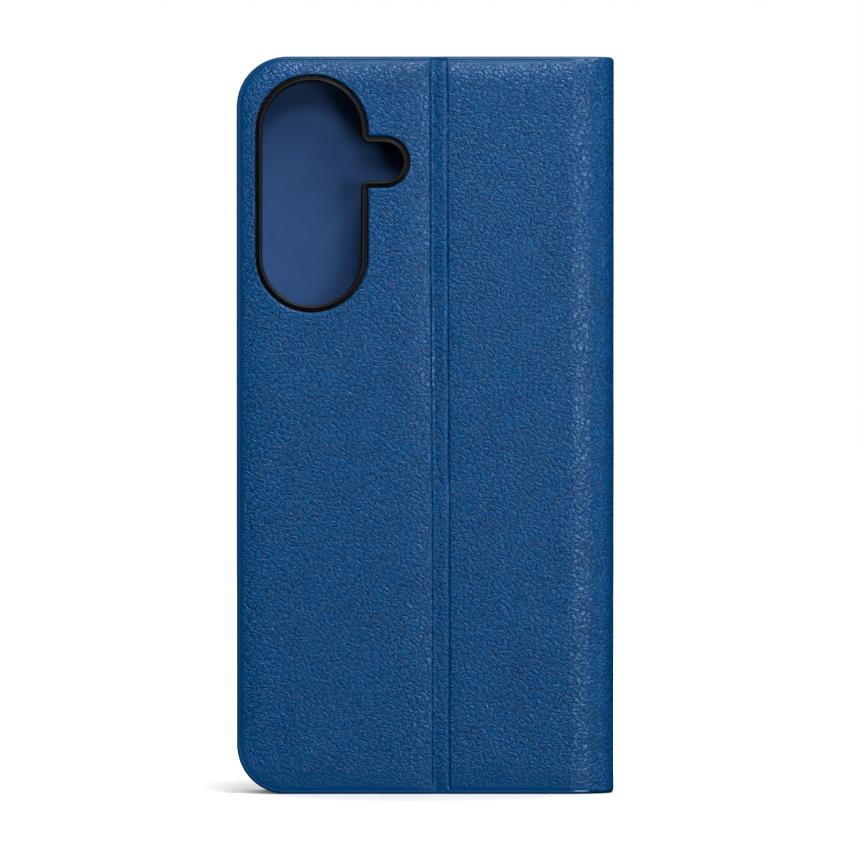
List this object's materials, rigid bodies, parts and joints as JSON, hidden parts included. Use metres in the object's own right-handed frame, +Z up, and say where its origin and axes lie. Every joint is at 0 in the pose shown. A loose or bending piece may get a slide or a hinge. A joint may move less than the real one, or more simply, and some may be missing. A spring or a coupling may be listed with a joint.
{
  "type": "phone wallet case",
  "caption": "Folio wallet case for a phone: moulded tray in a leather-look book cover with a camera cut-out, card pockets and a creased back that folds into a stand.",
  "frame": {"origin": "centre of the bounding box on the bottom edge that the closed case stands on", "axes": "+Z up along the long edges, +X across the back from the free edge to the spine, +Y from the back towards the front cover"},
  "size_m": [0.0856, 0.0166, 0.167],
  "materials": {
    "leather": "blue pebble-grain leather-look sheet, satin",
    "board": "plain grey-brown stiffening board",
    "lining": "navy microfibre, matt with a short nap",
    "adhesive": "double-sided adhesive film",
    "tray": "black-brown moulded soft plastic, satin",
    "magnet": "nickel-plated"
  },
  "bodies": {
    "camera_half": {"camera_half_skin": "leather", "camera_half_board": "board", "camera_half_lining": "lining", "tray_adhesive_pad": "adhesive", "back_magnet_lower": "magnet", "back_magnet_upper": "magnet", "phone_tray": "tray"},
    "volume_key": {"volume_key_pad": "tray"},
    "power_key": {"power_key_pad": "tray"},
    "crease_strip": {"crease_strip_skin": "leather", "crease_strip_lining": "lining"},
    "stand_flap": {"stand_flap_skin": "leather", "stand_flap_board": "board", "stand_flap_lining": "lining"},
    "spine": {"spine_skin": "leather", "spine_board": "board", "spine_lining": "lining"},
    "front_cover": {"cover_skin": "leather", "cover_board": "board", "cover_lining": "lining", "cash_pocket": "lining", "card_pocket_rear": "leather", "card_pocket_front": "leather", "cover_magnet_lower": "magnet", "cover_magnet_upper": "magnet"}
  },
  "joints": [
    {"name": "crease_a_fold", "type": "hinge", "parent": "camera_half", "child": "crease_strip", "pos_m": [0.0017, -0.0083, 0.0835], "axis": [0, 0, -1], "range_deg": [0, 22.5]},
    {"name": "crease_b_fold", "type": "hinge", "parent": "crease_strip", "child": "stand_flap", "pos_m": [0.0053, -0.0083, 0.0835], "axis": [0, 0, -1], "range_deg": [0, 22.5]},
    {"name": "spine_fold", "type": "hinge", "parent": "stand_flap", "child": "spine", "pos_m": [0.04126, -0.00681, 0.0835], "axis": [0, 0, -1], "range_deg": [0, 150]},
    {"name": "cover_fold", "type": "hinge", "parent": "spine", "child": "front_cover", "pos_m": [0.04126, 0.00681, 0.0835], "axis": [0, 0, -1], "range_deg": [0, 180]},
    {"name": "volume_key_press", "type": "slide", "parent": "camera_half", "child": "volume_key", "axis": [1, 0, 0], "range_m": [0, 0.0004], "stiffness_N_per_m": 2000},
    {"name": "power_key_press", "type": "slide", "parent": "camera_half", "child": "power_key", "axis": [1, 0, 0], "range_m": [0, 0.0004], "stiffness_N_per_m": 2000}
  ],
  "couplings": [
    {"joint": "crease_a_fold", "follows": "spine_fold", "ratio": 0.15},
    {"joint": "crease_b_fold", "follows": "spine_fold", "ratio": 0.15}
  ]
}
